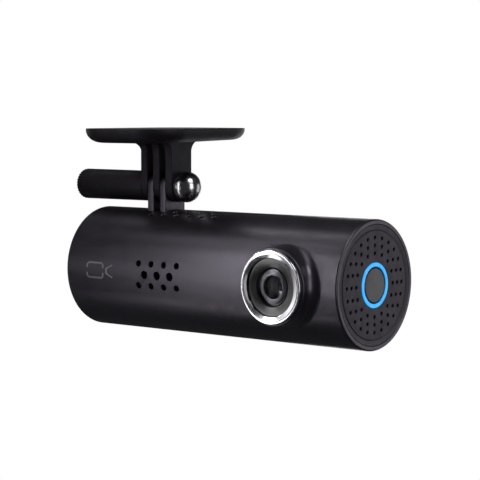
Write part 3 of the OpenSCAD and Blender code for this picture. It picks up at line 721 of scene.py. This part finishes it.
def make_bracket():
    outline = [(KNUCKLE_R, -3), (-KNUCKLE_R, -3)] + arc((0, HINGE_Z), KNUCKLE_R, 180, 360, 48)
    prongs = [slab(outline, x - KNUCKLE_T / 2, x + KNUCKLE_T / 2, 0.28,
                   lambda y, z, along: (along, y, z)) for x in (-KNUCKLE_PITCH, 0, KNUCKLE_PITCH)]
    gaps = [loft([[(x + side * KNUCKLE_PITCH / 2, y, z) for y, z in
                   ((-12, -12), (12, -12), (12, -4.5), (-12, -4.5))] for x in (-1.19, 1.19)])
            for side in (-1, 1)]
    root = combine(to_mesh("root", post_root()), to_mesh("gaps", join(*gaps)), "DIFFERENCE")
    mesh = combine(to_mesh("plate", plate_shape()), root, "UNION")
    mesh = combine(mesh, to_mesh("prongs", join(*prongs)), "UNION")
    tools = join(lathe([(0, -9), (PIVOT_R, -9), (PIVOT_R, HINGE_HALF - 1.8), (0, HINGE_HALF - 1.8)],
                       on_hinge, 64),
                 loft([[(x, y, HINGE_Z + z) for y, z in key_outline(KEY_HALF, 0.3)]
                       for x in (HINGE_HALF - 1.6, HINGE_HALF + 2)]))
    mesh = combine(mesh, to_mesh("tools", tools), "DIFFERENCE")
    finish(mesh, "bracket_fine", looks["bracket_plastic"], "bracket",
           ["bracket"], weighted=True)


def make_pad():
    inwards = PAD_MARGIN + 0.05
    outline = plate_outline(PLATE_X / 2 - inwards, -PLATE_Y / 2 + inwards,
                            PLATE_Y / 2 - inwards, PLATE_CORNER - PAD_MARGIN)
    mesh = to_mesh("pad", slab(outline, -PAD_T, 0, 0.16, lambda x, y, z: (x, y, z)))
    finish(mesh, "adhesive_pad_fine", looks["pad_foam"], "bracket", ["adhesive_pad"])


def make_ball():
    middle, flat = HINGE_HALF + 2.05, HINGE_HALF + 0.02
    start = math.degrees(math.asin((flat - middle) / BALL_R))
    ball = [(0, flat)] + arc((0, middle), BALL_R, start, 90, 64)
    ball = rounded(ball, [0, 0.12] + [0] * 64)
    stem = loft([[(x, y, HINGE_Z + z) for y, z in key_outline(KEY_HALF - 0.05, 0.28)]
                 for x in (HINGE_HALF - 1.55, HINGE_HALF + 1)])
    mesh = combine(to_mesh("ball", lathe(ball, on_hinge, 160)), to_mesh("stem", stem), "UNION")
    bore = lathe([(0, 0), (2.05, 0), (2.05, middle + 1.6), (0, middle + 1.6)], on_hinge, 64)
    mesh = combine(mesh, to_mesh("bore", bore), "DIFFERENCE")
    finish(mesh, "ball_nut_fine", looks["polished_ball"], "bracket", ["ball_nut"])


def make_knob():
    """The knob, its round end cut by thirty shallow flutes that run out along it."""
    start, end, radius, flutes, samples = -HINGE_HALF - 27.6, -HINGE_HALF - 0.1, 4.65, 30, 12
    profile = [(0, start), (1.5, start), (3, start)] + arc((radius - 1, start + 1), 1, -90, 0, 10)
    rows = [start + 1 + 6 * i / 20 for i in range(1, 21)] + [start + 11, start + 19]
    profile += [(radius - 0.08 * (x - start) / (end - start), x) for x in rows]
    washer, shank, head = 3.66, 2.02, 3.24  # radii of the hollows for them
    profile += rounded([(radius - 0.08, end - 3), (radius - 0.09, end), (washer, end),
                        (washer, end - 0.6), (shank, end - 0.6), (shank, -18.13),
                        (head, -18.13), (head, -21.67), (0, -21.67)],
                       [0, 0.25, 0.1, 0, 0, 0, 0, 0, 0])
    verts, rings = [], []
    for r, x in profile:
        if r < 1e-6:
            rings.append([len(verts)])
            verts.append(on_hinge(0, 0, x))
            continue
        count = flutes * samples
        rings.append(list(range(len(verts), len(verts) + count)))
        depth = 0.27 * min(max(1 - (x - start) / 6.6, 0), 1) * min(max((r - 3.2) / 1.3, 0), 1)
        depth = depth if x < start + 7 else 0
        for j in range(count):
            wave = (0.5 + 0.5 * math.cos(TAU * j / samples)) ** 0.8
            verts.append(on_hinge(r - depth * wave, TAU * j / count, x))
    finish(to_mesh("knob", (verts, stitch(rings, False))), "knob_fine", looks["knob_plastic"],
           "knob", ["knob"], sharp=40)


def make_washer():
    face = -HINGE_HALF - 0.04
    turned("clamp_washer", [(PIVOT_R, face - 0.6), (3.6, face - 0.6), (3.6, face), (PIVOT_R, face)],
           0.1, on_hinge, 96, "washer", 3)


make_bracket()
make_pad()
make_ball()
make_knob()
make_washer()


# ---- Lens, outside in ----

def make_lens():
    front, skirt = LENS_FRONT, NOSE_BORE_R - 0.05
    turned("lens_trim_ring",
           [(TRIM_R, NOSE_FRONT + 0.03), (TRIM_R, front), (9.6, front), (9.35, front + 0.1),
            (8.15, front - 0.1), (8.15, front - 0.7), (8.4, front - 0.7), (8.4, NOSE_FRONT - 2.3),
            (skirt, NOSE_FRONT - 2.3), (skirt, NOSE_FRONT + 0.03)],
           [0.12, 0.7, 0.2, 0.15, 0.07, 0.05, 0, 0.1, 0.1, 0], segments=256, steps=8)
    turned("lens_bezel",
           [(8.35, front - 0.82), (8.05, front - 0.82), (7.95, front - 0.74), (5.5, front - 1.02),
            (5.5, front - 1.9), (7.2, front - 1.9),
            (7.2, front - 3.2), (8.35, front - 3.2)], [0.05, 0.05, 0.1, 0.1] + [0.05] * 4,
           segments=256)
    turned("lens_barrel",
           [(4, 8.2), (6, 8.2), (6, 17.6), (6.6, 17.6), (6.6, 19.4), (5.45, 19.4),
            (5.45, front - 0.95), (5.1, front - 0.95), (5.1, front - 2.25), (3.6, front - 2.25),
            (3.6, front - 5.65), (2.8, front - 5.65), (2.8, 11.7), (4, 11.7)],
           [0.1, 0.1, 0.1, 0.1, 0.1, 0.05, 0.12, 0.12] + [0.04] * 6)
    radius, rise, thick = 5.05, 0.6, 0.7
    dome = (radius ** 2 + rise ** 2) / (2 * rise)
    half = math.degrees(math.asin(radius / dome))
    height = front - 1.1 + rise - dome
    outer = arc((0, height), dome, 90, 90 - half, 48)
    inner = arc((0, height - thick), dome, 90 - half, 90, 48)
    turned("front_element", [(0, outer[0][1])] + outer[1:] + inner[:-1] + [(0, inner[-1][1])])
    turned("lens_retainer",
           [(5.03, front - 1.85), (3.2, front - 1.6), (3.2, front - 2.2), (5.03, front - 2.2)],
           [0.1, 0.12, 0.05, 0.05])
    dome = 5.8
    face = arc((0, front - 2.6 - dome), dome, 90, 52.27, 40)
    back = front - 4.8
    turned("second_element", [(0, face[0][1])] + face[1:] + [(face[-1][0], back), (0, back)])
    turned("aperture_stop",
           [(1.2, front - 5.3), (3.55, front - 4.95), (3.55, front - 5.6), (1.2, front - 5.6)],
           [0.05, 0.03, 0.03, 0.05])
    turned("rear_element", [(0, 11.6), (2.5, 11.4), (3.95, 10.8), (3.95, 9.4), (0, 9.4)],
           [0, 0.5, 0.1, 0.1, 0])


make_lens()


# ---- Button end ----

GRILLE_RINGS = ((24, 13.18), (20, 11), (16, 8.82))  # how many holes, and their ring's radius
BUTTON_R = 5.08
LIGHT_R = 6.35


def make_button_end():
    face, back = RIGHT - 0.2, RIGHT - 1.4
    hub_back = RIGHT - 4.3
    turned("end_bezel",
           [(BORE_R - 0.03, RIGHT - 0.06), (15.25, RIGHT - 0.34), (15.25, back - 0.05),
            (14, back - 0.05), (14, back - 1.2), (15.25, back - 2), (15.25, RIGHT - 6.8),
            (BORE_R - 0.03, RIGHT - 6.8)], [0.12, 0.1, 0, 0.05, 0.05, 0.1, 0.1, 0.1], on_barrel, 256)
    grille = rounded([(6.4, face), (15.2, face), (15.2, back), (8, back), (8, hub_back),
                      (6.4, hub_back)], [0.12, 0.15, 0.05, 0.05, 0.1, 0.05], 4, True)
    holes = [cutter(0.54, 0.09, 2.6, on_barrel(radius, TAU * i / count, face), (1, 0, 0), 24)
             for count, radius in GRILLE_RINGS for i in range(count)]
    mesh = combine(to_mesh("grille", lathe(grille, on_barrel, 192, True)),
                   to_mesh("holes", join(*holes)), "DIFFERENCE")
    finish(mesh, "speaker_grille_fine", looks["grille_plastic"], "camera",
           ["speaker_grille"])
    light_face, light_back = RIGHT - 0.05, RIGHT - 5.35
    turned("light_guide_ring",
           [(BUTTON_R + 0.06, light_face), (LIGHT_R, light_face), (LIGHT_R, hub_back - 0.05),
            (8, hub_back - 0.05), (8, light_back), (BUTTON_R + 0.06, light_back)],
           [0.2, 0.2, 0, 0.05, 0.05, 0.05], on_barrel)
    top, stem, flange = RIGHT - 0.1, light_back + 0.15, light_back - 0.1
    crown = arc((BUTTON_R - 0.6, top - 0.05 - 0.6), 0.6, 0, 84, 14)
    turned("power_button",
           [(0, stem), (1.2, stem), (1.2, top - 2), (3.9, top - 2), (3.9, flange - 0.9),
            (5.9, flange - 0.9), (5.9, flange), (BUTTON_R, flange)] + crown
           + [(2.5, top - 0.02), (0, top)], 0, on_barrel, body="power_button")


make_button_end()


# ---- Left end ----

def opening(outline, depth, edge=0.15):
    """A tool for an opening in the left cap's face, its mouth rounded. outline is (y, z)."""
    face = LEFT + 0.2
    rings = [(depth, 0), (edge, 0)]
    rings += [(edge - edge * math.sin(t), edge - edge * math.cos(t)) for t in quarter(4, 1)]
    rings.append((-0.4, edge + 0.2))
    return loft([[(face + sink, y, BARREL_Z + z) for y, z in inset(outline, -grow)]
                 for sink, grow in rings])


def box_outline(y, z, half_y, half_z, corner):
    """A rounded rectangle as (y, z) points going anticlockwise."""
    corners = [(y + half_y, z - half_z), (y + half_y, z + half_z),
               (y - half_y, z + half_z), (y - half_y, z - half_z)]
    return rounded(corners, corner, 6, True)


# Places in the cap, from the barrel's axis. There is a screw on each side of it.
SOCKET_Y = -1.25
CARD_Z, USB_Z, RESET_Z = 6.6, -5.6, -11.9
SCREW_Y, SCREW_Z = 9, 9


def make_left_end():
    face, back, skirt = LEFT + 0.2, LEFT + 2, LEFT + 5
    profile = rounded([(0, face), (BORE_R - 0.05, face), (BORE_R - 0.05, skirt), (BORE_R - 1.2, skirt),
                       (BORE_R - 1.2, back), (0, back)], [0, 0.45, 0.1, 0.1, 0.2, 0])
    tools = [opening(box_outline(SOCKET_Y, CARD_Z, 0.675, 5.8, 0.25), 3),
             opening(arc((SOCKET_Y, CARD_Z), 3.2, 0, 354, 59), 0.85, 0.35),
             opening(box_outline(SOCKET_Y, USB_Z, 1.55, 4, 0.7), 3, 0.25),
             opening(arc((SOCKET_Y, RESET_Z), 0.6, 0, 345, 23), 3, 0.12)]
    mesh = to_mesh("cap", lathe(profile, on_barrel, 192))
    for tool in tools:
        mesh = combine(mesh, to_mesh("tool", tool), "DIFFERENCE")
    wells = []
    for side in (-1, 1):
        place = about_x(SCREW_Y, BARREL_Z + side * SCREW_Z)
        well = rounded([(1.1, face + 3), (1.1, face + 1.05), (2.05, face + 1.05), (2.05, face),
                        (2.4, face - 0.4)], [0, 0, 0, 0.15, 0])
        wells.append(lathe([(0, face + 3)] + well + [(0, face - 0.4)], place, 48))
    mesh = combine(mesh, to_mesh("wells", join(*wells)), "DIFFERENCE")
    finish(mesh, "left_end_cap_fine", looks["cap_plastic"], "camera",
           ["left_end_cap"])
    screws = []
    head = face + 1
    hexagon = [(0.9 * math.cos(TAU * i / 6), 0.9 * math.sin(TAU * i / 6)) for i in range(6)]
    for side in (-1, 1):
        place = about_x(SCREW_Y, BARREL_Z + side * SCREW_Z)
        body = to_mesh("screw", lathe(rounded(
            [(0, head - 0.8), (1.9, head - 0.8), (1.9, head), (1, head), (1, head + 8), (0, head + 8)],
            [0, 0.35, 0.05, 0, 0.2, 0]), place, 64))
        socket = loft([[(x, SCREW_Y + y, BARREL_Z + side * SCREW_Z + z) for y, z in hexagon]
                       for x in (head - 1.2, head - 0.25)])
        screws.append(combine(body, to_mesh("socket", socket), "DIFFERENCE"))
    pair = bmesh.new()
    for mesh in screws:
        pair.from_mesh(mesh)
    both = bpy.data.meshes.new("cap_screws")
    pair.to_mesh(both)
    finish(both, "cap_screws_fine", looks["black_screw"], "camera", ["cap_screws"])


make_left_end()


# ---- Printed mark: a plain video-camera sign ----

def on_front(x, up, lift):
    """A place on the barrel's front, up being the height along the curve."""
    turn = up / BARREL_R
    radius = BARREL_R + lift
    return (x, -radius * math.cos(turn), BARREL_Z + radius * math.sin(turn))


def printed(outline, hole=None):
    """A thin raised print, solid or with a hole of as many points."""
    high, low = 0.03, -0.05
    if hole is None:
        return loft([[on_front(x, up, low) for x, up in outline],
                     [on_front(x, up, high) for x, up in outline]])
    return loft([[on_front(x, up, lift) for x, up in loop] for loop, lift in
                 ((outline, low), (outline, high), (hole, high), (hole, low))], closed=True)


def make_mark():
    low, high, up, half, stroke = -16, -9, 0.3, 2.5, 0.55
    body = rounded([(low, up - half), (high, up - half), (high, up + half), (low, up + half)],
                   1.2, 6, True)
    near, far = high + 0.8, high + 3.6
    horn = rounded([(near, up - 0.8), (far, up - 2.2), (far, up + 2.2), (near, up + 0.8)],
                   0.3, 4, True)
    mark = to_mesh("mark", join(printed(body, inset(body, stroke)), printed(horn)))
    finish(mark, "printed_mark", printed_grey, "camera")


make_mark()


# ---- Studio ----

BODY_SPOT = (28, -10, -38)
LENS_SPOT = (LENS_X, -LENS_FRONT, BARREL_Z)
FAR = 560  # how far from the object the soft boxes stand


def outwards(azimuth, elevation):
    """A direction by its angles in degrees. Azimuth 0 is ahead of the lens."""
    a, e = math.radians(azimuth), math.radians(elevation)
    return Vector((math.sin(a) * math.cos(e), -math.cos(a) * math.cos(e), math.sin(e)))


def make_camera():
    aim = Vector((28.7, 0, -32.4)) * MM
    back, distance = outwards(39.04, 4.4), 497 * MM
    data = bpy.data.cameras.new("camera")
    data.lens, data.sensor_width = 127.5, 36
    data.clip_start, data.clip_end = 0.01, 10
    camera = bpy.data.objects.new("camera", data)
    camera.location = aim + back * distance
    camera.rotation_mode = "QUATERNION"
    camera.rotation_quaternion = (-back).to_track_quat("-Z", "Y")
    bpy.context.scene.collection.objects.link(camera)
    bpy.context.scene.camera = camera


def panel(name, place, size, radiance, target, spread=90):
    """A rectangular light that faces its target, with the same brightness at any size.

    A spread below 90 degrees each way is a honeycomb grid on it.
    """
    out = (Vector(place) - Vector(target)).normalized()
    data = bpy.data.lights.new(name, "AREA")
    data.shape = "RECTANGLE"
    data.size, data.size_y = size[0] * MM, size[1] * MM
    data.energy = radiance * math.pi * data.size * data.size_y
    if spread < 90:
        half = math.radians(spread)
        data.spread = 2 * half
        data.energy *= 1 - half / math.tan(half)
    light = bpy.data.objects.new(name, data)
    light.location = Vector(place) * MM
    light.rotation_mode = "QUATERNION"
    light.rotation_quaternion = (-out).to_track_quat("-Z", "Y")
    light.visible_camera = False
    bpy.context.scene.collection.objects.link(light)


def aimed(name, azimuth, elevation, distance, size, radiance, target=BODY_SPOT, spread=90):
    """A light given by its direction and distance from its target."""
    place = Vector(target) + outwards(azimuth, elevation) * distance
    panel(name, place, size, radiance, target, spread)


def strip_arch(radius, width, step, spread, parts):
    """A strip light bent round the barrel, ahead and to its left.

    Each part has an angle, an offset along the barrel and a brightness.
    """
    centre = Vector((48, -18, BARREL_Z))
    for i, (angle, offset, radiance) in enumerate(parts):
        a = math.radians(angle)
        place = centre + Vector((offset, -radius * math.cos(a), radius * math.sin(a)))
        panel(f"strip{i}", place, (width, radius * math.radians(step)), radiance, centre, spread)


def make_world(ambient):
    """White behind everything, and dim grey as the object sees it."""
    world = bpy.data.worlds.new("world")
    world.use_nodes = True
    bpy.context.scene.world = world
    tree = world.node_tree
    path = tree.nodes.new("ShaderNodeLightPath")
    mix = tree.nodes.new("ShaderNodeMix")
    mix.data_type = "RGBA"
    mix.inputs[6].default_value = (*ambient, 1)
    mix.inputs[7].default_value = (1, 1, 1, 1)
    tree.links.new(path.outputs["Is Camera Ray"], mix.inputs[0])
    tree.links.new(mix.outputs[2], tree.nodes["Background"].inputs["Color"])


def make_floor():
    """A plain white floor, far enough below to leave every side in view."""
    sides, radius, depth = 64, 3000, -700
    ring = [(radius * math.cos(TAU * i / sides), radius * math.sin(TAU * i / sides), depth)
            for i in range(sides)]
    mesh = to_mesh("floor", (ring, [tuple(range(sides))]))
    mesh.transform(Matrix.Scale(MM, 4))
    material = bpy.data.materials.new("floor_white")
    material.use_nodes = True
    shader = material.node_tree.nodes["Principled BSDF"]
    shader.inputs["Base Color"].default_value = (0, 0, 0, 1)
    shader.inputs["Specular IOR Level"].default_value = 0
    shader.inputs["Emission Color"].default_value = (1, 1, 1, 1)
    shader.inputs["Emission Strength"].default_value = 1
    mesh.materials.append(material)
    floor = bpy.data.objects.new("floor", mesh)
    bpy.context.scene.collection.objects.link(floor)
    floor.visible_diffuse = floor.visible_glossy = floor.visible_transmission = False
    floor.visible_shadow = False


make_camera()
bpy.context.scene.view_settings.view_transform = "Standard"
make_world((0.04, 0.04, 0.045))
make_floor()
strip_arch(202, 34, 26, 30,
           [(-60, -165, 2.4), (-34, -156, 3.4), (-8, -146, 6.8), (18, -140, 7.8),
            (44, -140, 6.2), (70, -140, 2.8), (96, -140, 2.8)])
# These two light the front glass, and their grids narrow what else they reach.
aimed("wide", -54, 2, 200, (80, 120), 1.7, LENS_SPOT, 16)
aimed("glint", -61, 19, 150, (30, 34), 60, LENS_SPOT, 6)
# Soft boxes round the whole object
aimed("right", 78, 10, FAR, (230, 420), 2.6)
aimed("rim", 81, 52, FAR, (220, 220), 6)
aimed("grey", -14, -3, FAR, (60, 180), 0.5)
aimed("end", 141, -4, FAR, (260, 380), 1.0)
aimed("back", -165, -5, FAR, (420, 420), 1.6)
aimed("left", -100, 10, FAR, (300, 420), 0.5)
aimed("top", 0, 88, FAR, (300, 300), 1.5)
